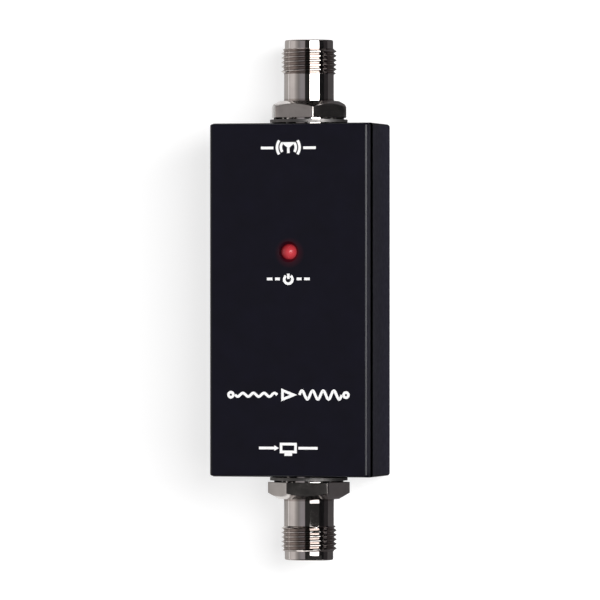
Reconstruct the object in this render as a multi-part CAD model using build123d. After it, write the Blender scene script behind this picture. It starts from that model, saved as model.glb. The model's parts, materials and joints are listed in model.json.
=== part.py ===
from build123d import *

import os
from math import asin, atan2, cos, degrees, hypot, radians, tan

# In-line antenna amplifier: a black die-cast box with a threaded coaxial jack at each end.
# Millimetres. The back lies on Z = 0, +Z is the front with the lamp, +Y is the antenna end.
os.makedirs("parts", exist_ok=True)

# Front cover
cover_width = 33.0
cover_length = 70.2
cover_thickness = 2.4
cover_edge_radius = 0.8
cover_end_radius = 0.35
cover_rim_height = 1.6
cover_rim_wall = 1.2
cover_rim_clearance = 0.2

# Rear case, which stands out round the cover by a narrow ledge
case_depth = 20.1
case_side_ledge = 0.3
case_end_ledge = 0.2
case_side_wall = 1.8
case_end_wall = 2.2
case_floor = 1.6
case_draft_angle = 4.5
case_rear_radius = 3.5
case_end_radius = 0.6
case_inner_radius = 0.8

# Cover screws, driven from the back into bosses of the cover
cover_boss_radius = 2.6
cover_boss_clearance = 0.2
cover_screw_radius = 1.25
cover_screw_head_radius = 2.35
cover_screw_length = 9.0
cover_screw_head_depth = 0.1
screw_hole_clearance = 0.15
screw_thread_gap = 0.03
screw_end_gap = 1.5
countersink_angle = 90.0

# Coaxial jacks, each built along its own axis from the mouth inwards
jack_tip_radius = 4.9
jack_tip_length = 1.8
jack_thread_radius = 5.55
jack_thread_length = 5.1
jack_barrel_radius = 5.025
jack_barrel_length = 5.4
jack_chamfer = 0.35
jack_flange_radius = 6.2
jack_flange_thickness = 2.0
jack_flange_floor_gap = 0.25
jack_boss_radius = 4.0
jack_boss_length = 1.5
jack_mouth_radius = 4.2
jack_mouth_length = 3.1
jack_bore_radius = 4.0
jack_socket_depth = 8.4
jack_flat_depth = 0.45
jack_hole_clearance = 0.1

# Hexagon nut and toothed washer of a jack
nut_across_flats = 14.3
nut_thickness = 3.4
nut_thread_gap = 0.04
nut_face_radius = 6.1
nut_chamfer_angle = 30.0
antenna_nut_turn = 22.0
receiver_nut_turn = 43.0
washer_radius = 7.8
washer_thickness = 1.25
washer_ring_width = 1.1
washer_tooth_count = 10
washer_tooth_width = 1.2
washer_sheet = 0.6
washer_bore_clearance = 0.15

# Insulator and centre contact of a jack
insulator_setback = 0.4
insulator_front_radius = 2.4
insulator_radius = 3.2
insulator_gap = 0.04
contact_radius = 1.1
contact_recess = 0.5
contact_bore_radius = 0.68
contact_bore_depth = 4.2
contact_slot = 0.25
contact_gap = 0.04
contact_tail_radius = 0.65
contact_tail_length = 4.0
insulator_entry_radius = 0.9

# Circuit board and what holds it
board_thickness = 1.6
board_side_gap = 0.5
board_end_gap = 0.5
board_notch_gap = 0.5
board_solder_gap = 0.1
board_post_radius = 2.2
board_post_inset = 3.2
board_post_spacing = 43.0
board_screw_radius = 1.0
board_screw_head_radius = 1.9
board_screw_head_height = 1.3
board_screw_length = 5.0
board_post_hole_floor = 0.4

# Lamp
led_radius = 1.5
led_protrusion = 1.0
led_height = 5.3
led_flange_radius = 1.9
led_flange_height = 1.0
led_hole_clearance = 0.1
led_hole_countersink = 0.5
led_offset = 9.6
led_lead_pitch = 2.54
led_lead_width = 0.5
led_lead_tail = 1.4
led_lead_clearance = 0.1
led_spacer_radius = 2.1

# Parts on the board
can_width = 16.0
can_length = 20.0
can_height = 4.5
can_sheet = 0.3
can_lip = 0.4
chip_length = 4.5
chip_width = 2.5
chip_height = 1.5
chip_lead_width = 0.5
chip_lead_reach = 0.8
chip_lead_height = 0.4
regulator_length = 6.5
regulator_width = 3.5
regulator_height = 1.7
regulator_lead_width = 0.75
regulator_lead_reach = 1.7
regulator_edge_gap = 2.4
regulator_lamp_spacing = 3.9
small_length = 2.0
small_width = 1.25
small_height = 0.8
small_terminal = 0.4
small_terminal_step = 0.05
resistor_height = 0.55
choke_width = 4.0
choke_height = 3.2
choke_corner = 0.7
capacitor_radius = 3.15
capacitor_height = 5.8
capacitor_base = 6.6
capacitor_base_height = 0.9
capacitor_base_corner = 1.3
capacitor_edge = 0.3
capacitor_edge_gap = 2.1
capacitor_lamp_spacing = 2.4

# Places that follow from the sizes
cover_face = case_depth + cover_thickness
case_half_length = cover_length / 2 + case_end_ledge
case_half_top = cover_width / 2 + case_side_ledge
case_half_bottom = case_half_top - case_depth * tan(radians(case_draft_angle))
inner_half_length = case_half_length - case_end_wall
inner_half_top = case_half_top - case_side_wall
inner_half_floor = inner_half_top - (case_depth - case_floor) * tan(radians(case_draft_angle))
jack_axis = case_floor + jack_flange_floor_gap + jack_flange_radius
jack_shank_length = case_end_wall + washer_thickness + nut_thickness
jack_reach = jack_tip_length + jack_thread_length + jack_barrel_length + nut_thickness + washer_thickness
flat_distance = jack_thread_radius - jack_flat_depth
boss_x = inner_half_floor - case_inner_radius - cover_boss_clearance - cover_boss_radius
boss_y = inner_half_length - case_inner_radius - cover_boss_clearance - cover_boss_radius
board_top = jack_axis - contact_tail_radius - board_solder_gap
board_bottom = board_top - board_thickness
board_half_width = inner_half_floor - board_side_gap
board_half_length = inner_half_length - jack_flange_thickness - jack_boss_length - board_end_gap
post_x = board_half_width - board_post_inset
post_y = board_post_spacing / 2
led_base = cover_face + led_protrusion - led_height
capacitor_y = board_half_length - contact_tail_length - small_length
lamp_resistor_y = led_offset - led_spacer_radius - small_length
can_centre = (lamp_resistor_y - small_length / 2 - capacitor_y + choke_width / 2) / 2


def four_places(x, y):
    return [(side * x, end * y) for side in (-1, 1) for end in (-1, 1)]


# Two opposite corners of the board
def post_places():
    return [(-post_x, -post_y), (post_x, post_y)]


def rod(radius, bottom, top, x=0.0, y=0.0):
    return Pos(x, y, bottom) * extrude(Circle(radius), top - bottom)


def block(width, length, bottom, top, x=0.0, y=0.0):
    return Pos(x, y, bottom) * extrude(Rectangle(width, length), top - bottom)


# A solid turned about Z from its half outline, given as radius and height
def turned(outline):
    return revolve(make_face(Plane.XZ * Polyline(*outline, close=True)), Axis.Z)


# The case's cross-section, drafted and rounded at the rear, drawn along the box
def case_section(half_top, half_bottom, bottom, top, radius, half_length):
    outline = make_face(
        Polyline(
            (-half_top, top), (-half_bottom, bottom), (half_bottom, bottom), (half_top, top), close=True
        )
    )
    rear_corners = outline.vertices().sort_by(Axis.Y)[:2]
    outline = fillet(rear_corners, radius)
    return extrude(Plane.XZ * outline, half_length, both=True)


def jack_hole(clearance):
    outline = Circle(jack_thread_radius + clearance)
    flat_cut = Pos(0, flat_distance + clearance + jack_thread_radius) * Rectangle(
        4 * jack_thread_radius, 2 * jack_thread_radius
    )
    return outline - flat_cut


# Place of a jack: local Z points out of the end wall, and local X stays across the box
def jack_place(end):
    return Location((0, end * case_half_length, jack_axis), (-90 * end, 0, 0))


# Rounds the outline of both end faces, apart from the edge that lies furthest along the given axis
def round_ends(shell, open_side, radius):
    for end in (0, -1):
        end_face = shell.faces().sort_by(Axis.Y)[end]
        outline = end_face.edges().sort_by(open_side)[:-1]
        shell = fillet(outline, radius)
    return shell


def rear_case():
    shell = case_section(
        case_half_top, case_half_bottom, 0, case_depth, case_rear_radius, case_half_length
    )
    shell = round_ends(shell, Axis.Z, case_end_radius)
    cavity = case_section(
        inner_half_top, inner_half_floor, case_floor, case_depth, case_inner_radius, inner_half_length
    )
    shell -= cavity
    for x, y in post_places():
        shell += rod(board_post_radius, case_floor, board_bottom, x, y)
        hole_bottom = case_floor + board_post_hole_floor
        shell -= rod(board_screw_radius + screw_thread_gap, hole_bottom, board_bottom, x, y)
    hole_radius = cover_screw_radius + screw_hole_clearance
    sink_radius = cover_screw_head_radius + screw_hole_clearance
    for x, y in four_places(boss_x, boss_y):
        shell -= Pos(x, y, 0) * countersunk_form(sink_radius, hole_radius, 0, case_floor)
    for end in (-1, 1):
        opening = extrude(jack_hole(jack_hole_clearance), -case_end_wall)
        shell -= jack_place(end) * opening
    return shell


# Head cone and shank of a countersunk screw, or the hole for one, from the back inwards
def countersunk_form(head_radius, shank_radius, back, tip):
    cone_height = (head_radius - shank_radius) / tan(radians(countersink_angle / 2))
    return turned(
        [
            (0, back),
            (head_radius, back),
            (shank_radius, back + cone_height),
            (shank_radius, tip),
            (0, tip),
        ]
    )


def front_cover():
    plate = block(cover_width, cover_length, case_depth, cover_face)
    long_edges = plate.edges().filter_by(Axis.Y).group_by(Axis.Z)[-1]
    cover = round_ends(fillet(long_edges, cover_edge_radius), -Axis.Z, cover_end_radius)
    rim_drop = cover_rim_height * tan(radians(case_draft_angle))
    rim_half_width = inner_half_top - cover_rim_clearance - rim_drop
    rim_half_length = inner_half_length - cover_rim_clearance
    rim = Rectangle(2 * rim_half_width, 2 * rim_half_length)
    rim -= Rectangle(2 * (rim_half_width - cover_rim_wall), 2 * (rim_half_length - cover_rim_wall))
    cover += Pos(0, 0, case_depth) * extrude(rim, -cover_rim_height)
    for x, y in four_places(boss_x, boss_y):
        cover += rod(cover_boss_radius, case_floor, case_depth, x, y)
    screw_top = cover_screw_head_depth + cover_screw_length + screw_end_gap
    for x, y in four_places(boss_x, boss_y):
        cover -= rod(cover_screw_radius + screw_thread_gap, case_floor, screw_top, x, y)
    cover -= rod(led_radius + led_hole_clearance, case_depth, cover_face, 0, led_offset)
    hole_radius = led_radius + led_hole_clearance
    sink = turned(
        [
            (0, cover_face - led_hole_countersink),
            (hole_radius, cover_face - led_hole_countersink),
            (hole_radius + led_hole_countersink, cover_face),
            (0, cover_face),
        ]
    )
    return cover - Pos(0, led_offset, 0) * sink


def cover_screws():
    tip = cover_screw_head_depth + cover_screw_length
    form = countersunk_form(cover_screw_head_radius, cover_screw_radius, cover_screw_head_depth, tip)
    return [Pos(x, y, 0) * form for x, y in four_places(boss_x, boss_y)]


def circuit_board():
    outline = Rectangle(2 * board_half_width, 2 * board_half_length)
    notch_x = boss_x - cover_boss_radius - board_notch_gap
    notch_y = boss_y - cover_boss_radius - board_notch_gap
    notch_width = board_half_width - notch_x
    notch_length = board_half_length - notch_y
    for x, y in four_places(notch_x + notch_width / 2, notch_y + notch_length / 2):
        outline -= Pos(x, y) * Rectangle(notch_width, notch_length)
    for x, y in post_places():
        outline -= Pos(x, y) * Circle(board_screw_radius + screw_hole_clearance)
    lead_hole = hypot(led_lead_width, led_lead_width) / 2 + led_lead_clearance
    for side in (-1, 1):
        outline -= Pos(side * led_lead_pitch / 2, led_offset) * Circle(lead_hole)
    return Pos(0, 0, board_bottom) * extrude(outline, board_thickness)


def board_screws():
    shank_bottom = board_top - board_screw_length
    head_top = board_top + board_screw_head_height
    form = rod(board_screw_radius, shank_bottom, board_top) + rod(
        board_screw_head_radius, board_top, head_top
    )
    return [Pos(x, y, 0) * form for x, y in post_places()]


# Everything on a jack is measured from the outer face of the end wall, outwards
def jack_body():
    wall_inner = -case_end_wall
    flange_inner = wall_inner - jack_flange_thickness
    rear = flange_inner - jack_boss_length
    shank_top = washer_thickness + nut_thickness
    thread_bottom = shank_top + jack_barrel_length
    thread_top = thread_bottom + jack_thread_length
    tip = thread_top + jack_tip_length
    socket_floor = tip - jack_socket_depth
    bore = insulator_radius + insulator_gap
    outline = [
        (bore, rear),
        (jack_boss_radius, rear),
        (jack_boss_radius, flange_inner),
        (jack_flange_radius, flange_inner),
        (jack_flange_radius, wall_inner),
        (jack_thread_radius, wall_inner),
        (jack_thread_radius, shank_top - jack_chamfer),
        (jack_barrel_radius, shank_top + jack_thread_radius - jack_barrel_radius - jack_chamfer),
        (jack_barrel_radius, thread_bottom),
        (jack_thread_radius, thread_bottom),
        (jack_thread_radius, thread_top - jack_chamfer),
        (jack_thread_radius - jack_chamfer, thread_top),
        (jack_tip_radius, thread_top),
        (jack_tip_radius, tip - jack_chamfer),
        (jack_tip_radius - jack_chamfer, tip),
        (jack_mouth_radius, tip),
        (jack_mouth_radius, tip - jack_mouth_length),
        (jack_bore_radius, tip - jack_mouth_length),
        (jack_bore_radius, socket_floor),
        (bore, socket_floor),
    ]
    body = turned(outline)
    shank = jack_shank_length + jack_thread_radius
    flat_cut = Pos(0, flat_distance + jack_thread_radius, wall_inner + shank / 2) * Box(
        4 * jack_thread_radius, 2 * jack_thread_radius, shank
    )
    return body - flat_cut


def jack_insulator():
    tip = jack_reach
    front = tip - jack_mouth_length - insulator_setback
    shoulder = tip - jack_socket_depth
    rear = -case_end_wall - jack_flange_thickness - jack_boss_length
    bore = contact_radius + contact_gap
    entry_bottom = front - contact_recess
    return turned(
        [
            (bore, rear),
            (insulator_radius, rear),
            (insulator_radius, shoulder),
            (insulator_front_radius, shoulder),
            (insulator_front_radius, front),
            (insulator_entry_radius, front),
            (insulator_entry_radius, entry_bottom),
            (bore, entry_bottom),
        ]
    )


def jack_contact():
    front = jack_reach - jack_mouth_length - insulator_setback - contact_recess
    rear = -case_end_wall - jack_flange_thickness - jack_boss_length
    contact = turned(
        [
            (0, rear - contact_tail_length),
            (contact_tail_radius, rear - contact_tail_length),
            (contact_tail_radius, rear),
            (contact_radius, rear),
            (contact_radius, front),
            (contact_bore_radius, front),
            (contact_bore_radius, front - contact_bore_depth),
            (0, front - contact_bore_depth),
        ]
    )
    for turn in (0, 90):
        slot = Pos(0, 0, front - contact_bore_depth / 2) * Box(
            contact_slot, 2.1 * contact_radius, contact_bore_depth
        )
        contact -= Rot(0, 0, turn) * slot
    return contact


# The nut's outer end is turned down to a cone, which leaves a round face inside the flats
def jack_nut(corner_angle):
    corner_radius = nut_across_flats / 2 / cos(radians(30))
    bottom = washer_thickness
    top = bottom + nut_thickness
    prism = extrude(RegularPolygon(corner_radius, 6, rotation=corner_angle), nut_thickness)
    cone_drop = (corner_radius - nut_face_radius) * tan(radians(nut_chamfer_angle))
    cone = turned(
        [
            (0, bottom),
            (corner_radius, bottom),
            (corner_radius, top - cone_drop),
            (nut_face_radius, top),
            (0, top),
        ]
    )
    nut = Pos(0, 0, bottom) * prism & cone
    return nut - rod(jack_thread_radius + nut_thread_gap, bottom, top)


# Teeth are twisted until their edges bite on the wall and on the nut
def jack_washer():
    ring_radius = washer_radius - washer_ring_width
    middle = washer_thickness / 2
    ring = rod(washer_radius, middle - washer_sheet / 2, middle + washer_sheet / 2)
    ring -= rod(ring_radius, middle - washer_sheet / 2, middle + washer_sheet / 2)
    diagonal = hypot(washer_tooth_width, washer_sheet)
    twist = degrees(asin(washer_thickness / diagonal) - atan2(washer_sheet, washer_tooth_width))
    tooth_start = jack_thread_radius + washer_bore_clearance
    tooth_length = ring_radius + washer_ring_width / 2 - tooth_start
    tooth = Rot(twist, 0, 0) * Box(tooth_length, washer_tooth_width, washer_sheet)
    tooth = Pos(tooth_start + tooth_length / 2, 0, middle) * tooth
    for index in range(washer_tooth_count):
        ring += Rot(0, 0, index * 360 / washer_tooth_count) * tooth
    return ring


def power_led():
    flange_top = led_base + led_flange_height
    dome_base = led_base + led_height - led_radius
    flange = extrude(Circle(led_flange_radius), led_flange_height)
    flat_side = Pos(led_radius + led_flange_radius, 0, 0) * Box(
        2 * led_flange_radius, 4 * led_flange_radius, 4 * led_flange_height
    )
    body = Pos(0, 0, led_base) * (flange - flat_side) + rod(led_radius, flange_top, dome_base)
    dome = Pos(0, 0, dome_base) * Sphere(led_radius)
    return Pos(0, led_offset, 0) * (body + dome)


def led_leads():
    bottom = board_bottom - led_lead_tail
    leads = []
    for side in (-1, 1):
        x = side * led_lead_pitch / 2
        leads.append(block(led_lead_width, led_lead_width, bottom, led_base, x, led_offset))
    return leads


def led_spacer():
    spacer = rod(led_spacer_radius, board_top, led_base, 0, led_offset)
    channel = led_lead_width + 2 * led_lead_clearance
    for side in (-1, 1):
        x = side * led_lead_pitch / 2
        spacer -= block(channel, channel, board_top, led_base, x, led_offset)
    return spacer


# Folded sheet can with a foot round its lower edge, open towards the board
def shield_can():
    outer = Rectangle(can_width, can_length)
    wide = Rectangle(can_width + 2 * can_lip, can_length + 2 * can_lip)
    inner = Rectangle(can_width - 2 * can_sheet, can_length - 2 * can_sheet)
    can = extrude(outer, can_height)
    can = chamfer(can.faces().sort_by(Axis.Z)[-1].edges(), can_sheet / 2)
    can += extrude(wide, can_sheet)
    can -= extrude(inner, can_height - can_sheet)
    return Pos(0, can_centre, board_top) * can


# Moulded chip with a chamfered body and flat leads on both long sides
def moulded_chip(length, width, height, lead_width, reach, lead_height, lead_pitch):
    body = extrude(Rectangle(length, width), height)
    body = chamfer(body.faces().sort_by(Axis.Z)[-1].edges(), height / 6)
    for index in (-1, 0, 1):
        body += block(lead_width, reach, 0, lead_height, index * lead_pitch, -(width + reach) / 2)
    body += block(2 * lead_width + lead_pitch, reach, 0, lead_height, 0, (width + reach) / 2)
    return body


def amplifier_chip():
    pitch = chip_length / 3
    chip = moulded_chip(
        chip_length, chip_width, chip_height, chip_lead_width, chip_lead_reach, chip_lead_height, pitch
    )
    return Pos(0, can_centre, board_top) * chip


def voltage_regulator():
    x = board_half_width - regulator_edge_gap - regulator_lead_reach - regulator_width / 2
    y = led_offset + regulator_lamp_spacing
    pitch = regulator_length / 3
    chip = moulded_chip(
        regulator_length,
        regulator_width,
        regulator_height,
        regulator_lead_width,
        regulator_lead_reach,
        chip_lead_height,
        pitch,
    )
    return Pos(x, y, board_top) * Rot(0, 0, 90) * chip


# Small block with raised end terminals
def small_part(height):
    body = Box(small_length, small_width, height, align=(Align.CENTER, Align.CENTER, Align.MIN))
    for end in (-1, 1):
        x = end * (small_length - small_terminal) / 2
        body += block(
            small_terminal, small_width + 2 * small_terminal_step, 0, height + small_terminal_step, x, 0
        )
    return body


def coupling_capacitors():
    places = [(0, capacitor_y), (0, -capacitor_y)]
    form = Rot(0, 0, 90) * small_part(small_height)
    return [Pos(x, y, board_top) * form for x, y in places]


def bias_resistors():
    spread = chip_length / 2 + small_length
    places = [
        (-spread, can_centre),
        (spread, can_centre),
        (0, lamp_resistor_y),
    ]
    form = Rot(0, 0, 90) * small_part(resistor_height)
    return [Pos(x, y, board_top) * form for x, y in places]


# Shielded inductors, square with cut corners
def bias_chokes():
    form = extrude(Rectangle(choke_width, choke_width), choke_height)
    form = chamfer(form.edges().filter_by(Axis.Z), choke_corner)
    x = small_width + choke_width
    return [Pos(-x, capacitor_y, board_top) * form, Pos(x, -capacitor_y, board_top) * form]


# Aluminium can on a plastic base that is cut at two corners
def smoothing_capacitor():
    x = -(board_half_width - capacitor_edge_gap - capacitor_base / 2)
    y = led_offset + capacitor_lamp_spacing
    can = turned(
        [
            (0, 0),
            (capacitor_radius, 0),
            (capacitor_radius, capacitor_height - capacitor_edge),
            (capacitor_radius - capacitor_edge, capacitor_height),
            (0, capacitor_height),
        ]
    )
    outline = Rectangle(capacitor_base, capacitor_base)
    outline = chamfer(outline.vertices().sort_by(Axis.X)[:2], capacitor_base_corner)
    base = extrude(outline, capacitor_base_height)
    return Pos(x, y, board_top) * (can + base)


def write(name, shape):
    solids = []
    for piece in shape if isinstance(shape, list) else [shape]:
        solids.extend(piece.solids())
    result = solids[0] if len(solids) == 1 else Compound(children=solids)
    export_step(result, "parts/" + name + ".step")


write("front_cover", front_cover())
write("rear_case", rear_case())
write("cover_screws", cover_screws())
write("circuit_board", circuit_board())
write("board_screws", board_screws())
write("power_led", power_led())
write("led_leads", led_leads())
write("led_spacer", led_spacer())
write("shield_can", shield_can())
write("amplifier_chip", amplifier_chip())
write("voltage_regulator", voltage_regulator())
write("coupling_capacitors", coupling_capacitors())
write("bias_resistors", bias_resistors())
write("bias_chokes", bias_chokes())
write("smoothing_capacitor", smoothing_capacitor())

for name, end, turn in (("antenna", 1, antenna_nut_turn), ("receiver", -1, receiver_nut_turn)):
    place = jack_place(end)
    corner_angle = end * (turn - 90)
    write(name + "_jack_body", place * jack_body())
    write(name + "_jack_insulator", place * jack_insulator())
    write(name + "_jack_contact", place * jack_contact())
    write(name + "_jack_nut", place * jack_nut(corner_angle))
    write(name + "_jack_washer", place * jack_washer())
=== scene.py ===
import json
from math import atan2, ceil, cos, pi, radians, sin, sqrt, tan

import bmesh
import bpy
from mathutils import Matrix, Vector


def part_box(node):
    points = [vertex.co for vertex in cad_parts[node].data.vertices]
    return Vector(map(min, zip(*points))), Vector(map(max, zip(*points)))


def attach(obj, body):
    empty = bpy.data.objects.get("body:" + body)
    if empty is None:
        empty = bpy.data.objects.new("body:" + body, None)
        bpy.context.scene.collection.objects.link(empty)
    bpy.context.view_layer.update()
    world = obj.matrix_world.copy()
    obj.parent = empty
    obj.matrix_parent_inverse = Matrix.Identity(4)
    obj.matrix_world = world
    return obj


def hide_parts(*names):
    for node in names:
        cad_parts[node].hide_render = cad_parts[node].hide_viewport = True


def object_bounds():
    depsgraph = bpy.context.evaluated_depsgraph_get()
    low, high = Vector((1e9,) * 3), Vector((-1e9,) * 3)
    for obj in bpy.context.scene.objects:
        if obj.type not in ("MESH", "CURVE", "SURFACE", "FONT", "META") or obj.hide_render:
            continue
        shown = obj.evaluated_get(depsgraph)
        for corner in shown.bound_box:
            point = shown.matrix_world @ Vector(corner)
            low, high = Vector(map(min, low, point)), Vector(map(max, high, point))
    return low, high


# Looks of the black in-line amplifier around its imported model: in metres, where a comment says nothing else
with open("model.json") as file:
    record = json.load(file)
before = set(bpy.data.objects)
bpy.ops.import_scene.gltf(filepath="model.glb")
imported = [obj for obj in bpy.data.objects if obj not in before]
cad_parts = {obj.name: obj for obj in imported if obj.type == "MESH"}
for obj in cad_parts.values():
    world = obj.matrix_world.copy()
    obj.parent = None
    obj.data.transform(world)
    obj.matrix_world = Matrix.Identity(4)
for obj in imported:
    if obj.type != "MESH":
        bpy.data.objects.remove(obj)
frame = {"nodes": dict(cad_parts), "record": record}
cad_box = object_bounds()
nodes = frame["nodes"]
mounts = {mount["name"]: mount for mount in frame["record"]["mounts"]}
MM = 0.001


# Mesh helpers
MERGE_DISTANCE = 0.0005 * MM
SHARP_ANGLE = 30
ROUND_STEPS = 4


def in_scene(name, data):
    """A new object in the scene, for a mesh, a lamp or a camera."""
    item = bpy.data.objects.new(name, data)
    bpy.context.scene.collection.objects.link(item)
    return item


def mesh_of(name, points, faces, place=Matrix.Identity(4)):
    mesh = bpy.data.meshes.new(name)
    mesh.from_pydata([place @ Vector(point) for point in points], [], faces)
    return mesh


def clean_mesh(mesh):
    """Joins points that coincide and turns every face outwards."""
    work = bmesh.new()
    work.from_mesh(mesh)
    bmesh.ops.remove_doubles(work, verts=work.verts, dist=MERGE_DISTANCE)
    bmesh.ops.recalc_face_normals(work, faces=work.faces)
    work.to_mesh(mesh)
    work.free()


def finish_mesh(name, mesh, material, sharp_angle=SHARP_ANGLE):
    """An object that is smooth apart from edges sharper than the angle, in degrees."""
    clean_mesh(mesh)
    for face in mesh.polygons:
        face.use_smooth = True
    mesh.set_sharp_from_angle(angle=radians(sharp_angle))
    mesh.materials.append(material)
    return in_scene(name, mesh)


def on_body(piece, slot, *replaced):
    """Makes the piece move with the part's one body, in place of the nodes that it replaces."""
    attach(piece, "root")
    if replaced:
        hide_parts(*replaced)


def even_angles(count):
    return [2 * pi * step / count for step in range(count)]


def turned_faces(first, rows, columns, closed):
    """Quads of a grid that runs round an axis, with its points stored row by row."""
    faces = []
    for row in range(rows if closed else rows - 1):
        above = (row + 1) % rows
        for step in range(columns):
            beside = (step + 1) % columns
            corners = [(row, step), (row, beside), (above, beside), (above, step)]
            faces.append([first + r * columns + c for r, c in corners])
    return faces


def turned_points(outlines, angles):
    """Points row by row, from one outline of (radius, height) for each angle."""
    points = []
    for row in range(len(outlines[0])):
        for outline, angle in zip(outlines, angles):
            radius, height = outline[row]
            points.append((radius * cos(angle), radius * sin(angle), height))
    return points


def turned_mesh(name, outlines, angles, place, closed=False):
    """A piece round local Z, with one outline for each angle; closed joins its last row to its first."""
    faces = turned_faces(0, len(outlines[0]), len(angles), closed)
    return mesh_of(name, turned_points(outlines, angles), faces, place)


def rounded_edge(inner, outer, height, drop):
    """A quarter round from (inner, height) to (outer, height - drop)."""
    turns = [pi / 2 * step / ROUND_STEPS for step in range(ROUND_STEPS + 1)]
    return [(inner + (outer - inner) * sin(turn), height - drop * (1 - cos(turn))) for turn in turns]


# Coaxial jacks, in millimetres, from the mouth inwards
TIP_RADIUS = 4.9
TIP_LENGTH = 1.8
THREAD_RADIUS = mounts["antenna_thread"]["dims"]["r_mm"]
THREAD_LENGTH = 5.1
THREAD_PITCH = 25.4 / 28
THREAD_DEPTH = 0.5
BARREL_RADIUS = 5.025
BARREL_LENGTH = 5.4
SHANK_LENGTH = 6.85
FLANGE_RADIUS = 6.2
FLANGE_LENGTH = 2.0
BOSS_RADIUS = 4.0
BOSS_LENGTH = 1.5
MOUTH_RADIUS = mounts["antenna_socket"]["dims"]["r_mm"]
MOUTH_LENGTH = mounts["antenna_socket"]["dims"]["length_mm"]
SOCKET_RADIUS = 4.0
SOCKET_DEPTH = 8.4
INSULATOR_BORE = 3.24
JACK_CHAMFER = 0.35
MOUTH_CHAMFER = JACK_CHAMFER / 3
JACK_SEGMENTS = 128

# Heights along a jack's axis: 0 at the mouth, and lower towards the case
THREAD_TOP = -TIP_LENGTH
THREAD_BOTTOM = THREAD_TOP - THREAD_LENGTH
SHANK_TOP = THREAD_BOTTOM - BARREL_LENGTH

# Flare of the barrel next to its nut, and the straight row before it, as a share of its length
RUNOUT_LENGTH = 0.75
RUNOUT_ANGLE = radians(5)
RUNOUT_STEPS = 4
RUNOUT_LEAD = 0.05

# Thread form: rows along one pitch, and those that its crest, one flank and its root take
ROWS_PER_TURN = 16
CREST_ROWS = 2
FLANK_ROWS = 5
ROOT_ROWS = 4
ROOT_ROUNDING = 0.14


def jack_frame(end, height=0.0):
    """Local millimetres: Z points out of the mouth, right-handed, from this height outside it."""
    socket = mounts[end + "_socket"]
    outward = Vector(socket["axis"])
    origin = Vector(socket["pos_m"]) + outward * (MOUTH_LENGTH / 2 + height) * MM
    side = Vector((1, 0, 0))
    rotation = Matrix((side, outward.cross(side), outward)).transposed().to_4x4()
    return Matrix.Translation(origin) @ rotation @ Matrix.Scale(MM, 4)


def thread_radius(height, angle):
    """Radius of the right-hand coupling thread, limited by the chamfers at both its ends."""
    phase = ((height - THREAD_BOTTOM) / THREAD_PITCH - angle / (2 * pi)) % 1.0 * ROWS_PER_TURN
    root_start = CREST_ROWS + FLANK_ROWS
    root_stop = root_start + ROOT_ROWS
    if phase < CREST_ROWS:
        depth = 0.0
    elif phase < root_start:
        depth = (1 - ROOT_ROUNDING) * (phase - CREST_ROWS) / FLANK_ROWS
    elif phase < root_stop:
        offset = (phase - (root_start + root_stop) / 2) / (ROOT_ROWS / 2)
        depth = 1 - ROOT_ROUNDING * offset * offset
    else:
        depth = (1 - ROOT_ROUNDING) * (ROWS_PER_TURN - phase) / FLANK_ROWS
    chamfer = THREAD_RADIUS - JACK_CHAMFER + min(THREAD_TOP - height, height - THREAD_BOTTOM)
    return min(THREAD_RADIUS - THREAD_DEPTH * depth, chamfer)


def thread_band():
    """Points and faces of the thread: each row climbs with it, so that crests and roots are clean lines."""
    rows = ROWS_PER_TURN * (ceil(THREAD_LENGTH / THREAD_PITCH) + 1) + 1
    angles = even_angles(JACK_SEGMENTS)
    points = []
    for row in range(rows):
        for step, angle in enumerate(angles):
            climb = row / ROWS_PER_TURN - 1 + step / JACK_SEGMENTS
            height = min(max(THREAD_BOTTOM + THREAD_PITCH * climb, THREAD_BOTTOM), THREAD_TOP)
            radius = thread_radius(height, angle)
            points.append((radius * cos(angle), radius * sin(angle), height))
    faces = []
    for row in range(rows - 1):
        for step in range(JACK_SEGMENTS):
            last = step + 1 == JACK_SEGMENTS
            beside = 0 if last else step + 1
            lift = ROWS_PER_TURN if last else 0
            if row + 1 + lift < rows:
                corners = [(row, step), (row + lift, beside), (row + 1 + lift, beside), (row + 1, step)]
                faces.append([r * JACK_SEGMENTS + c for r, c in corners])
    return points, faces


def runout():
    """The barrel's slight flare towards the nut, after a short straight row that keeps its shading apart."""
    rows = [(BARREL_RADIUS, SHANK_TOP + (1 + RUNOUT_LEAD) * RUNOUT_LENGTH)]
    for step in range(RUNOUT_STEPS + 1):
        share = step / RUNOUT_STEPS
        rise = RUNOUT_LENGTH * share * tan(RUNOUT_ANGLE * share)
        rows.append((BARREL_RADIUS + rise, SHANK_TOP + RUNOUT_LENGTH * (1 - share)))
    return rows


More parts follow.
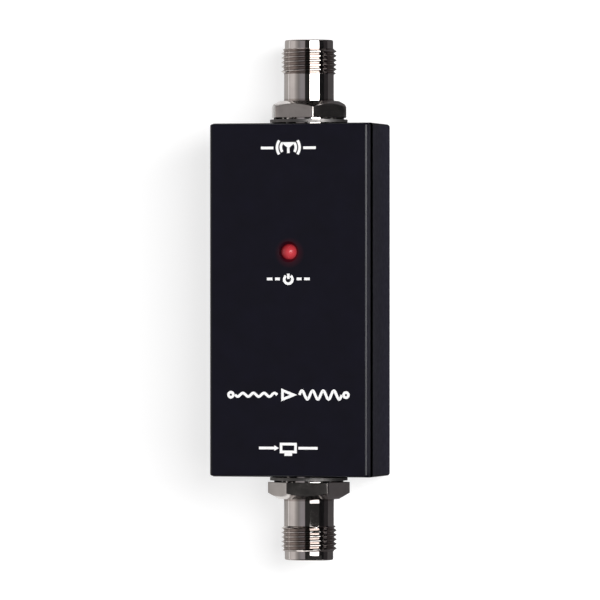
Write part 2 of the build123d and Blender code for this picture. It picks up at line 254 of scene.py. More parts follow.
def jack_outline(angle):
    """The jack without its thread: from the thread's inner end, by shank and socket, to the tip."""
    flange = SHANK_TOP - SHANK_LENGTH
    flange_back = flange - FLANGE_LENGTH
    rear = flange_back - BOSS_LENGTH
    relief = THREAD_RADIUS - BARREL_RADIUS
    return [
        (thread_radius(THREAD_BOTTOM, angle), THREAD_BOTTOM),
        (BARREL_RADIUS, THREAD_BOTTOM),
        *runout(),
        (THREAD_RADIUS, SHANK_TOP - relief),
        (THREAD_RADIUS, flange),
        (FLANGE_RADIUS, flange),
        (FLANGE_RADIUS, flange_back),
        (BOSS_RADIUS, flange_back),
        (BOSS_RADIUS, rear),
        (INSULATOR_BORE, rear),
        (INSULATOR_BORE, -SOCKET_DEPTH),
        (SOCKET_RADIUS, -SOCKET_DEPTH),
        (SOCKET_RADIUS, -MOUTH_LENGTH),
        (MOUTH_RADIUS, -MOUTH_LENGTH),
        (MOUTH_RADIUS, -MOUTH_CHAMFER),
        (MOUTH_RADIUS + MOUTH_CHAMFER, 0),
        *rounded_edge(TIP_RADIUS - JACK_CHAMFER, TIP_RADIUS, 0, JACK_CHAMFER),
        (TIP_RADIUS, THREAD_TOP),
        (thread_radius(THREAD_TOP, angle), THREAD_TOP),
    ]


def make_jack(end, material):
    name = end + "_jack_threaded"
    points, faces = thread_band()
    angles = even_angles(JACK_SEGMENTS)
    outlines = [jack_outline(angle) for angle in angles]
    faces += turned_faces(len(points), len(outlines[0]), JACK_SEGMENTS, False)
    points += turned_points(outlines, angles)
    mesh = mesh_of(name, points, faces, jack_frame(end))
    on_body(finish_mesh(name, mesh, material), "nickel", end + "_jack_body")


# Nuts of the jacks, in millimetres
NUT_ACROSS_FLATS = 14.3
NUT_THICKNESS = 3.4
NUT_FACE_RADIUS = 6.1
NUT_BORE_RADIUS = 5.59
NUT_BORE_CHAMFER = 0.2
NUT_CONE_ANGLE = radians(30)
NUT_CORNER_ROUNDING = 0.12
NUT_EDGE = 0.07
NUT_FLAT_STEPS = 10
NUT_SHARP_ANGLE = 20

# Turn of each nut's first corner from the front towards +X, in degrees
NUT_TURNS = {"antenna": 22, "receiver": 43}

# Rounding of a nut's corner: how far its centre is from the axis, and its half width as an angle there
ROUNDING_CENTRE = (NUT_ACROSS_FLATS / 2 - NUT_CORNER_ROUNDING) / cos(pi / 6)
ROUNDING_TURN = atan2(NUT_CORNER_ROUNDING * sin(pi / 6), ROUNDING_CENTRE + NUT_CORNER_ROUNDING * cos(pi / 6))


def hexagon_radius(turn):
    """Radius of a hexagon with rounded corners, at this turn from its nearest corner."""
    if abs(turn) < ROUNDING_TURN:
        aside = ROUNDING_CENTRE * sin(turn)
        return ROUNDING_CENTRE * cos(turn) + sqrt(NUT_CORNER_ROUNDING**2 - aside**2)
    return NUT_ACROSS_FLATS / 2 / cos(pi / 6 - abs(turn))


def nut_angles(first_corner):
    """Angles round a nut, close together at its six corners, and the turn of each from its nearest corner."""
    corner_turns = [ROUNDING_TURN * share for share in (-1, -0.5, 0, 0.5)]
    span = pi / 3 - 2 * ROUNDING_TURN
    flat_turns = [ROUNDING_TURN + span * step / NUT_FLAT_STEPS for step in range(NUT_FLAT_STEPS)]
    angles = []
    turns = []
    for corner in range(6):
        for turn in corner_turns + flat_turns:
            angles.append(first_corner + corner * pi / 3 + turn)
            turns.append(turn if turn <= pi / 6 else turn - pi / 3)
    return angles, turns


def nut_outline(turn):
    """The nut at this turn from its nearest corner, from its bore by its outer face to its inner one."""
    radius = hexagon_radius(turn)
    top = NUT_THICKNESS
    shoulder = top - (radius - NUT_FACE_RADIUS) * tan(NUT_CONE_ANGLE)
    return [
        (NUT_BORE_RADIUS, 0),
        (NUT_BORE_RADIUS, top - NUT_BORE_CHAMFER),
        (NUT_BORE_RADIUS + NUT_BORE_CHAMFER, top),
        (NUT_FACE_RADIUS - NUT_EDGE, top),
        (NUT_FACE_RADIUS + NUT_EDGE * cos(NUT_CONE_ANGLE), top - NUT_EDGE * sin(NUT_CONE_ANGLE)),
        (radius - NUT_EDGE * cos(NUT_CONE_ANGLE), shoulder + NUT_EDGE * sin(NUT_CONE_ANGLE)),
        (radius, shoulder - NUT_EDGE),
        (radius, NUT_EDGE),
        (radius - NUT_EDGE, 0),
    ]


def make_nut(end, material):
    name = end + "_jack_hexagon_nut"
    place = jack_frame(end, SHANK_TOP - NUT_THICKNESS)
    into_local = place.inverted().to_3x3()
    front = (into_local @ Vector((0, 0, 1))).normalized()
    right = (into_local @ Vector((1, 0, 0))).normalized()
    first_turn = radians(NUT_TURNS[end])
    corner = front * cos(first_turn) + right * sin(first_turn)
    angles, turns = nut_angles(atan2(corner.y, corner.x))
    mesh = turned_mesh(name, [nut_outline(turn) for turn in turns], angles, place, closed=True)
    on_body(finish_mesh(name, mesh, material, NUT_SHARP_ANGLE), "nickel", end + "_jack_nut")


# Lamp, in millimetres from its base, and the place of its chip beside its axis
LED_RADIUS = 1.5
LED_HEIGHT = 5.3
LED_FLANGE_RADIUS = 1.9
LED_FLANGE_HEIGHT = 1.0
LED_SEGMENTS = 64
LED_DOME_STEPS = 16
LED_CHIP_OFFSET = (0.6, -0.15)


def led_outline(angle):
    """Flange with its flat towards +X, straight side and dome; the last row closes the top."""
    flange = LED_FLANGE_RADIUS
    if cos(angle) > LED_RADIUS / LED_FLANGE_RADIUS:
        flange = LED_RADIUS / cos(angle)
    dome_base = LED_HEIGHT - LED_RADIUS
    rows = [(0, 0), (flange, 0), (flange, LED_FLANGE_HEIGHT), (LED_RADIUS, LED_FLANGE_HEIGHT)]
    for step in range(LED_DOME_STEPS + 1):
        turn = pi / 2 * step / LED_DOME_STEPS
        rows.append((LED_RADIUS * cos(turn), dome_base + LED_RADIUS * sin(turn)))
    return rows


def led_base():
    low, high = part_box("power_led")
    return Vector((0, (low.y + high.y) / 2, low.z))


def beside_led(offset):
    """A point this far from the lamp's axis, in millimetres, at its base."""
    return led_base() + Vector((*offset, 0)) * MM


def make_led(material):
    place = Matrix.Translation(led_base()) @ Matrix.Scale(MM, 4)
    angles = even_angles(LED_SEGMENTS)
    mesh = turned_mesh("power_lens", [led_outline(angle) for angle in angles], angles, place)
    on_body(finish_mesh("power_lens", mesh, material), "lamp", "power_led")


# Cover screws, in millimetres from the back, and the cutter of their cross recess, which overlaps the head
SCREW_RADIUS = 1.25
SCREW_CHAMFER = SCREW_RADIUS / 4
SCREW_LENGTH = 9.0
SCREW_HEAD_RADIUS = 2.35
SCREW_HEAD_DEPTH = 0.1
SCREW_HEAD_EDGE = 0.1
SCREW_SEGMENTS = 48
RECESS_REACH = 1.25
RECESS_WIDTH = 0.62
RECESS_DEPTH = 1.2
RECESS_TAPER = 0.55
RECESS_OVERLAP = 0.5

# Each screw's side in x and in y, and how far its cross is turned, in degrees
SCREWS = {
    "lower_left": (-1, -1, 17),
    "upper_left": (-1, 1, 48),
    "lower_right": (1, -1, 79),
    "upper_right": (1, 1, 110),
}


def screw_outline():
    """From the middle of the head to the end of the shank."""
    cone = SCREW_HEAD_RADIUS - SCREW_RADIUS
    back = SCREW_HEAD_DEPTH
    edge = SCREW_HEAD_EDGE
    return [
        (0, back),
        *reversed(rounded_edge(SCREW_HEAD_RADIUS, SCREW_HEAD_RADIUS - edge, back + edge, edge)),
        (SCREW_RADIUS, back + cone),
        (SCREW_RADIUS, back + SCREW_LENGTH - SCREW_CHAMFER),
        (SCREW_RADIUS - SCREW_CHAMFER, back + SCREW_LENGTH),
        (0, back + SCREW_LENGTH),
    ]


def recess_cutter(place):
    """A cross that narrows towards its bottom, as a solid to cut from a screw head."""
    open_share = 1 + RECESS_OVERLAP * (1 - RECESS_TAPER) / RECESS_DEPTH
    points = []
    for height, share in ((-RECESS_OVERLAP, open_share), (RECESS_DEPTH, RECESS_TAPER)):
        reach = RECESS_REACH * share
        half = RECESS_WIDTH / 2 * share
        arm = [(reach, -half), (reach, half), (half, half)]
        for quarter in range(4):
            turn = Matrix.Rotation(quarter * pi / 2, 2)
            points += [(*(turn @ Vector(corner)), SCREW_HEAD_DEPTH + height) for corner in arm]
    count = len(points) // 2
    sides = [(i, (i + 1) % count, count + (i + 1) % count, count + i) for i in range(count)]
    faces = sides + [tuple(range(count)), tuple(range(count, 2 * count))]
    mesh = mesh_of("recess", points, faces, place)
    clean_mesh(mesh)
    return in_scene("recess", mesh)


def cut_with(piece, cutter):
    """Cuts the piece's mesh and removes the cutter."""
    modifier = piece.modifiers.new("cut", "BOOLEAN")
    modifier.object = cutter
    modifier.operation = "DIFFERENCE"
    modifier.solver = "EXACT"
    bpy.context.view_layer.update()
    graph = bpy.context.evaluated_depsgraph_get()
    mesh = bpy.data.meshes.new_from_object(piece.evaluated_get(graph))
    piece.modifiers.clear()
    piece.data = mesh
    bpy.data.objects.remove(cutter)


def make_cover_screws(material):
    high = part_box("cover_screws")[1]
    x = high.x - SCREW_HEAD_RADIUS * MM
    y = high.y - SCREW_HEAD_RADIUS * MM
    angles = even_angles(SCREW_SEGMENTS)
    for corner, (side_x, side_y, degrees) in SCREWS.items():
        name = "cover_screw_" + corner
        turn = Matrix.Rotation(radians(degrees), 4, "Z")
        place = Matrix.Translation((side_x * x, side_y * y, 0)) @ turn @ Matrix.Scale(MM, 4)
        mesh = turned_mesh(name, [screw_outline()] * SCREW_SEGMENTS, angles, place)
        piece = finish_mesh(name, mesh, material)
        cut_with(piece, recess_cutter(place))
        on_body(piece, "black_screw", "cover_screws")


# Printed symbols on the front cover, in millimetres, and the y of each one's origin
PRINT_Y = {"print_antenna": 30.3, "print_power": 4.2, "print_amplifier": -18.9, "print_receiver": -29.6}
INK_THICKNESS = 0.02
STROKE = 0.54
ARC_STEP = radians(12)

# Waves at both sides of the amplifier's triangle, and the terminals that they end at
WAVE_START = 2.3
WAVE_LENGTH = 2.2
WAVE_STEPS = 20
WAVE_COUNT = 4
LOW_WAVE = 0.35
HIGH_WAVE = 0.85
TERMINAL_X = 11.95
TERMINAL_RADIUS = 0.5


class Print:
    """Flat ink on the front cover: lines with mitred corners, arcs and filled shapes that don't overlap."""

    def __init__(self, name):
        self.name = name
        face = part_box("front_cover")[1].z
        self.place = Matrix.Translation((0, PRINT_Y[name] * MM, face)) @ Matrix.Scale(MM, 4)
        self.sheet = bmesh.new()

    def point(self, place, height=INK_THICKNESS):
        return self.sheet.verts.new((*place, height))

    def shape(self, corners):
        self.sheet.faces.new([self.point(corner) for corner in corners])

    def line(self, points, closed=False):
        """One stroke through all the points."""
        points = [Vector(point) for point in points]
        count = len(points)
        rails = []
        for index, point in enumerate(points):
            before = points[index - 1] if closed or index else None
            after = points[(index + 1) % count] if closed or index + 1 < count else None
            incoming = (point - before).normalized() if before else (after - point).normalized()
            outgoing = (after - point).normalized() if after else incoming
            across = (incoming + outgoing).orthogonal().normalized()
            offset = across * (STROKE / 2 / across.dot(incoming.orthogonal()))
            rails.append([self.point(point - offset), self.point(point + offset)])
        for index in range(count if closed else count - 1):
            after = (index + 1) % count
            self.sheet.faces.new([rails[index][0], rails[after][0], rails[after][1], rails[index][1]])

    def arc(self, centre, radius, start, stop, closed=False):
        """One stroke along an arc from start to stop, in degrees."""
        steps = ceil(radians(abs(stop - start)) / ARC_STEP)
        count = steps if closed else steps + 1
        turns = [radians(start + (stop - start) * step / steps) for step in range(count)]
        x, y = centre
        self.line([(x + radius * cos(turn), y + radius * sin(turn)) for turn in turns], closed)

    def finish(self, material):
        """Gives the ink its thickness: each face again on the cover, and a wall down from each outer edge."""
        outer_edges = [edge for edge in self.sheet.edges if edge.is_boundary]
        below = {corner: self.point(corner.co.xy, 0) for corner in list(self.sheet.verts)}
        for face in list(self.sheet.faces):
            self.sheet.faces.new([below[corner] for corner in face.verts])
        for start, end in [edge.verts for edge in outer_edges]:
            self.sheet.faces.new([start, end, below[end], below[start]])
        mesh = bpy.data.meshes.new(self.name)
        self.sheet.to_mesh(mesh)
        self.sheet.free()
        mesh.transform(self.place)
        on_body(finish_mesh(self.name, mesh, material), "print")


def antenna_symbol(material):
    """An antenna on its mast between radio waves, with a line at each side."""
    ink = Print("print_antenna")
    ink.line([(0, -1.05), (0, 0)])
    ink.line([(-0.78, 0.87), (0.78, 0.87), (0, 0.2)], closed=True)
    for side in (0, 180):
        for radius in (1.55, 2.35):
            ink.arc((0, 0.1), radius, side - 36, side + 36)
    for side in (-1, 1):
        ink.line([(side * 3.1, 0), (side * 5.7, 0)])
    ink.finish(material)


def power_symbol(material):
    """An open ring with a bar, and two dashes at each side."""
    ink = Print("print_power")
    ink.arc((0, -0.1), 0.85, 125, 415)
    ink.line([(0, 0), (0, 1.05)])
    for side in (-1, 1):
        ink.line([(side * 1.75, 0), (side * 2.75, 0)])
        ink.line([(side * 3.3, 0), (side * 4.45, 0)])
    ink.finish(material)


def wave_point(side, height, step):
    """A point of the wave that runs from the triangle to a terminal."""
    turn = 2 * pi * step / WAVE_STEPS
    return side * (WAVE_START + WAVE_LENGTH * step / WAVE_STEPS), height * sin(turn)


def amplifier_symbol(material):
    """A low wave, an amplifier triangle and a high wave, between two terminals."""
    ink = Print("print_amplifier")
    ink.line([(-1.2, 0.9), (-1.2, -0.9), (1.1, 0)], closed=True)
    for side, height in ((-1, LOW_WAVE), (1, HIGH_WAVE)):
        steps = range(WAVE_COUNT * WAVE_STEPS + 1)
        ink.line([wave_point(side, height, step) for step in steps])
        ink.arc((side * TERMINAL_X, 0), TERMINAL_RADIUS, 0, 360, closed=True)
    ink.finish(material)


def receiver_symbol(material):
    """A screen on its foot, with an arrow into it and a line on the other side."""
    ink = Print("print_receiver")
    ink.line([(-1.5, 0.9), (1.5, 0.9), (1.5, -0.65), (-1.5, -0.65)], closed=True)
    ink.line([(-0.8, -1.17), (0.8, -1.17)])
    ink.line([(-6.1, 0.1), (-2.9, 0.1)])
    ink.shape([(-2.9, 0.65), (-2.9, -0.45), (-1.95, 0.1)])
    ink.line([(2.1, 0.1), (6.1, 0.1)])
    ink.finish(material)


# Node trees


class Tree:
    """A node tree, with short calls for the nodes that the materials and the room share."""

    def __init__(self, owner):
        owner.use_nodes = True
        self.nodes = owner.node_tree.nodes
        self.links = owner.node_tree.links

    def link(self, source, target):
        self.links.new(source, target)

    def math(self, operation, first, second=None):
        node = self.nodes.new("ShaderNodeMath")
        node.operation = operation
        self.link(first, node.inputs[0])
        if second is not None:
            self.link(second, node.inputs[1])
        return node.outputs["Value"]

    def span(self, value, low, high, start=0.35, end=0.65):
        """Rises from low at start to high at end, which by default are where noise mostly stays."""
        node = self.nodes.new("ShaderNodeMapRange")
        node.inputs["From Min"].default_value = start
        node.inputs["From Max"].default_value = end
        node.inputs["To Min"].default_value = low
        node.inputs["To Max"].default_value = high
        self.link(value, node.inputs["Value"])
        return node.outputs["Result"]

    def ramp(self, value, stops):
        """Colours by value, from stops of (position, colour)."""
        node = self.nodes.new("ShaderNodeValToRGB")
        elements = node.color_ramp.elements
        while len(elements) < len(stops):
            elements.new(0.5)
        for element, (position, colour) in zip(elements, stops):
            element.position = position
            element.color = (*colour, 1)
        self.link(value, node.inputs["Fac"])
        return node.outputs["Color"]

    def mix(self, first, second, factor=1.0, blend="MIX"):
        """Two colours mixed; each value is another node's output or a constant."""
        node = self.nodes.new("ShaderNodeMix")
        node.data_type = "RGBA"
        node.blend_type = blend
        for name, value in (("Factor", factor), ("A", first), ("B", second)):
            if isinstance(value, bpy.types.NodeSocket):
                self.link(value, node.inputs[name])
            else:
                node.inputs[name].default_value = value
        return node.outputs["Result"]


class Shader(Tree):
    """One material's node tree, whose textures lie in the object's own metres."""

    def __init__(self, name):
        self.material = bpy.data.materials.new(name)
        super().__init__(self.material)
        self.surface = self.nodes["Principled BSDF"]
        self.place = self.nodes.new("ShaderNodeTexCoord").outputs["Object"]

    def set(self, **values):
        for name, value in values.items():
            self.surface.inputs[name.replace("_", " ")].default_value = value

    def feed(self, name, source):
        self.link(source, self.surface.inputs[name])

    def noise(self, size, detail=3.0, stretch=(1, 1, 1)):
        """Noise whose features are about size metres across; stretch squeezes it along an axis."""
        scaled = self.nodes.new("ShaderNodeMapping")
        scaled.inputs["Scale"].default_value = stretch
        self.link(self.place, scaled.inputs["Vector"])
        texture = self.nodes.new("ShaderNodeTexNoise")
        texture.inputs["Scale"].default_value = 1 / size
        texture.inputs["Detail"].default_value = detail
        self.link(scaled.outputs["Vector"], texture.inputs["Vector"])
        return texture.outputs["Fac"]

    def vector_math(self, operation, first, second=None):
        node = self.nodes.new("ShaderNodeVectorMath")
        node.operation = operation
        self.link(first, node.inputs[0])
        if second is not None:
            node.inputs[1].default_value = second
        return node.outputs["Value" if operation == "LENGTH" else "Vector"]

    def distance(self, centre, across=(1, 1, 0)):
        """Distance from an axis through the centre, upright unless across says otherwise."""
        offset = self.vector_math("SUBTRACT", self.place, centre)
        return self.vector_math("LENGTH", self.vector_math("MULTIPLY", offset, across))

    def colour(self, value, stops):
        self.feed("Base Color", self.ramp(value, stops))

    def roughness(self, value, low, high):
        self.feed("Roughness", self.span(value, low, high))

    def bump(self, value, height, strength=1.0):
        """Adds a relief of this height in metres to those given before."""
        node = self.nodes.new("ShaderNodeBump")
        node.inputs["Distance"].default_value = height
        node.inputs["Strength"].default_value = strength
        self.link(value, node.inputs["Height"])
        previous = self.surface.inputs["Normal"].links
        if previous:
            self.link(previous[0].from_socket, node.inputs["Normal"])
        self.feed("Normal", node.outputs["Normal"])


def shades(tone, dark=0.85, light=1.0):
    """Two stops of one tone, for a noise to wander between."""
    return [(0.3, [dark * channel for channel in tone]), (0.7, [light * channel for channel in tone])]


def grey(tone):
    return (tone, tone, tone, 1)


# Black paint
PAINT_SPECULAR = 0.28

# Painted shade along the joint between cover and case, in place of the shadow in its gap, in millimetres: its
# height, and from where to where it fades
SEAM_SHADE_HEIGHT = 20.2
SEAM_SHADE_INNER = 0.25
SEAM_SHADE_OUTER = 0.7

# Red light from the lamp, painted on the cover as a glow round its hole: its middle and radii in millimetres,
# and its colour
SPILL_OFFSET = (0.25, -0.2)
SPILL_INNER = 1.6
SPILL_OUTER = 3.1
SPILL_TONE = (0.035, 0.001, 0.0015)


def satin_black(name, tone, rough):
    """Satin stoved paint: a fine orange peel, small changes of gloss, and painted shade along the joint line,
    black and without gloss.
    """
    shader = Shader(name)
    # Painted shade: round the joint the paint turns black and fully metallic, so that it reflects nothing, in
    # place of the shadow in the gap
    height = shader.distance((0, 0, SEAM_SHADE_HEIGHT * MM), (0, 0, 1))
    seam_shade = shader.span(height, 1, 0, SEAM_SHADE_INNER * MM, SEAM_SHADE_OUTER * MM)
    paint = shader.ramp(shader.noise(4 * MM), shades(tone, 0.85, 1.2))
    painted_shade = shader.ramp(seam_shade, [(0.0, (1, 1, 1)), (1.0, (0, 0, 0))])
    shader.feed("Base Color", shader.mix(paint, painted_shade, blend="MULTIPLY"))
    shader.feed("Metallic", seam_shade)
    shader.roughness(shader.noise(1.2 * MM), rough, rough + 0.06)
    shader.bump(shader.noise(0.6 * MM, 2.0), 0.006 * MM, 0.5)
    shader.bump(shader.noise(0.09 * MM, 2.0), 0.002 * MM, 0.5)
    shader.set(Specular_IOR_Level=PAINT_SPECULAR)
    return shader


def case_paint():
    return satin_black("paint_case", (0.002, 0.002, 0.004), 0.38).material


def cover_paint():
    """Glossier than the case, with the lamp's red spill painted round its hole as a glow."""
    shader = satin_black("paint_cover", (0.0024, 0.0022, 0.0068), 0.28)
    # Painted light: a red glow in the paint round the hole, in place of the light that the lamp spills
    distance = shader.distance(beside_led(SPILL_OFFSET))
    share = shader.span(distance, 0, 1, SPILL_INNER * MM, SPILL_OUTER * MM)
    faint = [0.5 * channel for channel in SPILL_TONE]
    shader.feed("Emission Color", shader.ramp(share, [(0.0, SPILL_TONE), (0.3, faint), (1.0, (0, 0, 0))]))
    shader.set(Emission_Strength=1.0)
    return shader.material


# Nickel, and the painted shade in the thread's roots by radius, from under the root to the crest: plain, dark
# in the root, plain
NICKEL_TONE = (0.70, 0.655, 0.63)
ROOT_MARGIN = 0.02
ROOT_SHADE_TONES = [(0.0, (1, 1, 1)), (0.04, (0.66, 0.625, 0.61)), (0.5, (0.84, 0.81, 0.8)), (0.9, (1, 1, 1))]


def nickel_plate(name, rough, marks, stretch):
    """Plated metal: a faint haze, painted shade in the thread roots, and machining marks of this height in
    millimetres.
    """
    shader = Shader(name)
    haze = shader.ramp(shader.noise(3 * MM), shades(NICKEL_TONE, 0.88))
    # Painted shade: the colour darkens by radius towards the thread's roots
    radius = shader.distance(mounts["antenna_thread"]["pos_m"], (1, 0, 1))
    crest = THREAD_RADIUS * MM
    root = crest - THREAD_DEPTH * MM
    share = shader.span(radius, 0, 1, root - ROOT_MARGIN * MM, crest)
    shader.feed("Base Color", shader.mix(haze, shader.ramp(share, ROOT_SHADE_TONES), blend="MULTIPLY"))
    shader.roughness(shader.noise(1.5 * MM, 4.0), rough, 1.4 * rough)
    shader.bump(shader.noise(0.12 * MM, 3.0, stretch), marks * MM, 0.3)
    shader.set(Metallic=1.0)
    return shader.material


def plain_metal(name, tone, rough):
    shader = Shader(name)
    shader.colour(shader.noise(2 * MM), shades(tone))
    shader.roughness(shader.noise(0.8 * MM, 4.0), rough, rough + 0.12)
    shader.bump(shader.noise(0.2 * MM), 0.002 * MM, 0.6)
    shader.set(Metallic=1.0)
    return shader.material


def moulded(name, tone, rough):
    """Plastic or ceramic with a fine grain."""
    shader = Shader(name)
    shader.colour(shader.noise(2.5 * MM), shades(tone, 0.88))
    shader.roughness(shader.noise(0.9 * MM), rough, rough + 0.1)
    shader.bump(shader.noise(0.3 * MM), 0.004 * MM, 0.6)
    return shader.material


def print_ink():
    """Screen-printed white, a little thin and speckled."""
    shader = Shader("white_ink")
    shader.colour(shader.noise(0.18 * MM, 4.0), [(0.25, (0.72, 0.72, 0.74)), (0.42, (0.94, 0.94, 0.94))])
    shader.roughness(shader.noise(0.3 * MM), 0.5, 0.65)
    shader.bump(shader.noise(0.12 * MM), 0.004 * MM, 0.5)
    return shader.material


# Lit lamp, from over its chip to its rim: the resin's colour and its glow
RESIN_TONES = [(0.0, (0.25, 0.01, 0.014)), (1.0, (0.06, 0.001, 0.002))]
RESIN_GLOW = [
    (0.0, (0.36, 0.05, 0.06)),
    (0.35, (0.30, 0.034, 0.042)),
    (0.75, (0.13, 0.008, 0.012)),
    (1.0, (0.05, 0.0, 0.001)),
]


def lamp_red():
    """Lit red resin, brightest over the chip and dark at its rim."""
    shader = Shader("lamp_lit")
    chip = beside_led(LED_CHIP_OFFSET)
    share = shader.span(shader.distance(chip), 0, 1, 0, (LED_RADIUS + LED_CHIP_OFFSET[0]) * MM)
    shader.colour(share, RESIN_TONES)
    shader.feed("Emission Color", shader.ramp(share, RESIN_GLOW))
    shader.roughness(shader.noise(0.5 * MM), 0.2, 0.28)
    shader.set(Emission_Strength=1.0, Specular_IOR_Level=0.3, Coat_Weight=0.05, Coat_Roughness=0.2)
    return shader.material


# Stage: the floor, its glow near the part and far from it, and the distances between which that rises
FLOOR_HALF = 40.0
FLOOR_TONE = 0.42
FLOOR_MOTTLE = 0.3
FLOOR_GLOW = 0.7
FLOOR_GLOW_FAR = 1.0
GLOW_RISE_FROM = 0.12
GLOW_RISE_TO = 0.45

# Floor cards, which gloss shows in place of the white floor: spans of x and y in millimetres, tone and glow.
# The left card's glow is painted light, which keeps it pale where the part's shadow falls on it.
BESIDE_BOX = (-36, 36)
PAST_TOP = (36, 150)
PAST_BOTTOM = (-150, -36)
NEAR_GREY = (0.09, 0.086, 0.09)
FAR_GREY = (0.03, 0.028, 0.03)
FLOOR_CARDS = {
    "side_near_card": ((3, 16.5), BESIDE_BOX, (0.108, 0.102, 0.148), 0),
    "side_middle_card": ((16.5, 18.8), BESIDE_BOX, (0.15, 0.142, 0.2), 0),
    "side_dark_card": ((18.8, 24.5), BESIDE_BOX, (0.02, 0.02, 0.024), 0),
    "side_open_card": ((24.5, 240), BESIDE_BOX, (0.4, 0.4, 0.42), 0),
    "upper_near_card": ((3, 24), PAST_TOP, NEAR_GREY, 0),
    "upper_far_card": ((24, 240), PAST_TOP, FAR_GREY, 0),
    "lower_near_card": ((3, 24), PAST_BOTTOM, NEAR_GREY, 0),
    "lower_far_card": ((24, 240), PAST_BOTTOM, FAR_GREY, 0),
    "left_card": ((-240, -12), (-150, 150), (0.34, 0.33, 0.32), 0.16),
}
CARD_LIFT = 0.0004
CARD_MOTTLE = 0.1

# Upright black card towards +X
BLACK_CARD_X = 0.24
BLACK_CARD_HALF = 0.5
BLACK_CARD_TOP = 0.12
BLACK_CARD_TONE = (0.02, 0.02, 0.022)

# Strip above the lower tip that ends its highlight early, in millimetres: x and z of two sides, and its y
TIP_STRIP_SIDES = ((5.3, 34.8), (25.7, 15.0))
TIP_STRIP_SPAN = (-58.5, -53.9)
# Painted light: a faint glow that keeps the strip's unlit side from reflecting as pure black
TIP_STRIP_GLOW = 0.035

# Lamps: their angles from the zenith towards +X, the y that each spans, and its radiance
LAMP_DISTANCE = 1.5
LAMP_FROM = 21.5
LAMP_TO = 70.0
LAMPS = {"key_lamp": (0.0, 0.6, 10.5), "low_lamp": (-0.5, -0.0945, 3.0)}

# Low fill lamps past both ends, which light the insulators in the mouths: distance and height, and size
FILL_PLACE = (0.9, 0.16)
FILL_SIZE = (0.5, 0.28)
FILL_RADIANCE = 9.0

# Room: its radiance by the angle from the zenith towards +X, in degrees
ROOM = [
    (-90, (0.50, 0.48, 0.47)),
    (-75, (0.72, 0.69, 0.68)),
    (-57, (0.73, 0.70, 0.69)),
    (-45, (0.43, 0.41, 0.40)),
    (-32, (0.25, 0.24, 0.24)),
    (-19, (0.33, 0.32, 0.34)),
    (-3, (0.33, 0.31, 0.33)),
    (0, (0.03, 0.03, 0.03)),
    (90, (0.03, 0.03, 0.03)),
]

# Pale band round the room, up to this height of the unit sphere
HORIZON_HEIGHT = 0.1
HORIZON_TONE = 0.8

# Darkening of the room past both ends of the part: from where to where in y on the unit sphere, and its share
ENDS_FROM = 0.25
ENDS_TO = 0.7
ENDS_SHARE = 0.85


def paper(name, tone, mottle):
    shader = Shader(name)
    shader.colour(shader.noise(mottle), shades(tone, 0.99))
    shader.roughness(shader.noise(mottle), 0.85, 0.95)
    shader.set(Specular_IOR_Level=0.0, Emission_Color=grey(1))
    return shader


def seen_directly(shader):
    """1 for rays that show the background: the camera's, and those by way of metal or glass."""
    rays = shader.nodes.new("ShaderNodeLightPath").outputs
    camera_or_gloss = shader.math("MAXIMUM", rays["Is Camera Ray"], rays["Is Glossy Ray"])
    return shader.math("MAXIMUM", camera_or_gloss, rays["Is Transmission Ray"])


def stage_sheet(name, corners, material):
    mesh = mesh_of(name, corners, [(0, 1, 2, 3)])
    mesh.materials.append(material)
    piece = in_scene(name, mesh)
    return piece


def make_floor():
    """Pale paper that keeps the part's shadow, with a glow that makes it white where it is seen directly."""
    shader = paper("floor_paper", [FLOOR_TONE] * 3, FLOOR_MOTTLE)
    distance = shader.distance((0, 0, 0))
    glow = shader.span(distance, FLOOR_GLOW, FLOOR_GLOW_FAR, GLOW_RISE_FROM, GLOW_RISE_TO)
    shader.feed("Emission Strength", shader.math("MULTIPLY", seen_directly(shader), glow))
    half = FLOOR_HALF
    corners = [(-half, -half, 0), (half, -half, 0), (half, half, 0), (-half, half, 0)]
    stage_sheet("floor", corners, shader.material)


def card(name, corners, tone, glow=0.0):
    """A studio card that only gloss shows."""
    shader = paper(name + "_paper", tone, CARD_MOTTLE)
    shader.set(Emission_Strength=glow)
    piece = stage_sheet(name, corners, shader.material)
    piece.visible_camera = False
    piece.visible_diffuse = False
    piece.visible_shadow = False


def make_cards():
    for name, ((left, right), (front, back), tone, glow) in FLOOR_CARDS.items():
        corners = [(left, front), (right, front), (right, back), (left, back)]
        card(name, [(x * MM, y * MM, CARD_LIFT) for x, y in corners], tone, glow)
    half = BLACK_CARD_HALF
    upright = [(-half, CARD_LIFT), (half, CARD_LIFT), (half, BLACK_CARD_TOP), (-half, BLACK_CARD_TOP)]
    card("black_card", [(BLACK_CARD_X, y, z) for y, z in upright], BLACK_CARD_TONE)
    (left, top), (right, bottom) = TIP_STRIP_SIDES
    front, back = TIP_STRIP_SPAN
    corners = [(left, front, top), (right, front, bottom), (right, back, bottom), (left, back, top)]
    card("tip_strip", [Vector(corner) * MM for corner in corners], BLACK_CARD_TONE, TIP_STRIP_GLOW)


def soft_box(name, size, radiance, place, turn):
    lamp = bpy.data.lights.new(name, "AREA")
    lamp.shape = "RECTANGLE"
    lamp.size, lamp.size_y = size
    lamp.energy = radiance * pi * lamp.size * lamp.size_y
    holder = in_scene(name, lamp)
    holder.location = place
    holder.rotation_euler = turn
    holder.visible_camera = False
    return holder


def make_lamps():
    """Two soft boxes in a row along the part, with a gap that its lower jack shows, and two fill lamps."""
    angle = radians((LAMP_FROM + LAMP_TO) / 2)
    width = 2 * LAMP_DISTANCE * tan(radians((LAMP_TO - LAMP_FROM) / 2))
    for name, (low, high, radiance) in LAMPS.items():
        place = (LAMP_DISTANCE * sin(angle), (low + high) / 2, LAMP_DISTANCE * cos(angle))
        soft_box(name, (width, high - low), radiance, place, (0, angle, 0))
    distance, height = FILL_PLACE
    for name, end in {"upper_fill": 1, "lower_fill": -1}.items():
        fill = soft_box(name, FILL_SIZE, FILL_RADIANCE, (0, end * distance, height), (-end * pi / 2, 0, 0))
        fill.visible_glossy = False


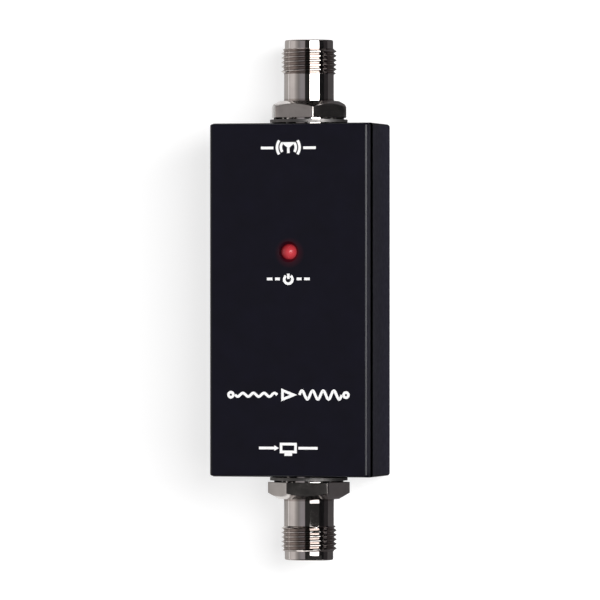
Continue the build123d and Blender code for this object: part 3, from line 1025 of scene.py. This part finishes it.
def make_world():
    """The room, which the camera itself sees as white."""
    world = bpy.data.worlds.new("studio")
    bpy.context.scene.world = world
    tree = Tree(world)
    direction = tree.nodes.new("ShaderNodeSeparateXYZ")
    tree.link(tree.nodes.new("ShaderNodeTexCoord").outputs["Generated"], direction.inputs["Vector"])
    x, y, z = direction.outputs
    angle = tree.span(tree.math("ARCTAN2", x, z), 0, 1, -pi / 2, pi / 2)
    walls = tree.ramp(angle, [((degrees + 90) / 180, tone) for degrees, tone in ROOM])
    low = tree.span(z, 1, 0, 0, HORIZON_HEIGHT)
    walls = tree.mix(walls, grey(HORIZON_TONE), low)
    aside = tree.span(tree.math("ABSOLUTE", y), 0, ENDS_SHARE, ENDS_FROM, ENDS_TO)
    walls = tree.mix(walls, grey(0), aside)
    camera_ray = tree.nodes.new("ShaderNodeLightPath").outputs["Is Camera Ray"]
    tree.link(tree.mix(walls, grey(1), camera_ray), tree.nodes["Background"].inputs["Color"])


# Camera: the photograph's angle, from straight above the cover towards +X, and the height that it looks at
VIEW_ANGLE = radians(16.5)
VIEW_HEIGHT = 14.3 * MM
VIEW_DISTANCE = 1.5

# Share of the frame's height that the part fills
FRAME_FILL = 0.87


def make_camera():
    camera = bpy.data.cameras.new("camera")
    low, high = cad_box
    camera.lens = camera.sensor_width * VIEW_DISTANCE * FRAME_FILL / (high.y - low.y)
    camera.clip_start = 0.01
    holder = in_scene("camera", camera)
    target = Vector((0, (low.y + high.y) / 2, VIEW_HEIGHT))
    direction = Vector((sin(VIEW_ANGLE), 0, cos(VIEW_ANGLE)))
    up = Vector((0, 1, 0))
    right = up.cross(direction).normalized()
    holder.location = target + direction * VIEW_DISTANCE
    holder.rotation_euler = Matrix((right, up, direction)).transposed().to_euler()
    bpy.context.scene.camera = holder


def dress(node, material):
    slots = nodes[node].data.materials
    slots.clear()
    slots.append(material)


make_camera()
make_floor()
make_cards()
make_lamps()
make_world()
bpy.context.scene.view_settings.view_transform = "Standard"

tin_sheet = plain_metal("tin_sheet", (0.7, 0.7, 0.68), 0.25)
chip_black = moulded("chip_black", (0.02, 0.02, 0.02), 0.5)
chip_ceramic = moulded("chip_ceramic", (0.5, 0.36, 0.22), 0.4)
for node, material in {
    "front_cover": cover_paint(),
    "rear_case": case_paint(),
    "circuit_board": moulded("board_green", (0.015, 0.13, 0.05), 0.35),
    "board_screws": plain_metal("steel_zinc", (0.55, 0.55, 0.56), 0.3),
    "led_leads": tin_sheet,
    "led_spacer": moulded("spacer_black", (0.04, 0.04, 0.04), 0.45),
    "shield_can": tin_sheet,
    "amplifier_chip": chip_black,
    "voltage_regulator": chip_black,
    "coupling_capacitors": chip_ceramic,
    "bias_resistors": chip_ceramic,
    "bias_chokes": moulded("ferrite_grey", (0.06, 0.06, 0.06), 0.5),
    "smoothing_capacitor": plain_metal("bare_aluminium", (0.75, 0.75, 0.76), 0.2),
}.items():
    dress(node, material)

nickel_turned = nickel_plate("nickel_turned", 0.012, marks=0.00015, stretch=(0.02, 1, 0.02))
nickel_nut = nickel_plate("nickel_nut", 0.1, marks=0.0008, stretch=(1, 0.3, 1))
washer_steel = plain_metal("washer_steel", (0.2, 0.192, 0.188), 0.42)
insulator_white = moulded("insulator_white", (0.8, 0.8, 0.77), 0.35)
gold_plate = plain_metal("gold_plate", (0.9, 0.62, 0.25), 0.2)
for end in ("antenna", "receiver"):
    dress(end + "_jack_washer", washer_steel)
    dress(end + "_jack_insulator", insulator_white)
    dress(end + "_jack_contact", gold_plate)
    make_jack(end, nickel_turned)
    make_nut(end, nickel_nut)

make_led(lamp_red())
make_cover_screws(plain_metal("screw_black", (0.03, 0.03, 0.033), 0.35))
white_ink = print_ink()
antenna_symbol(white_ink)
power_symbol(white_ink)
amplifier_symbol(white_ink)
receiver_symbol(white_ink)
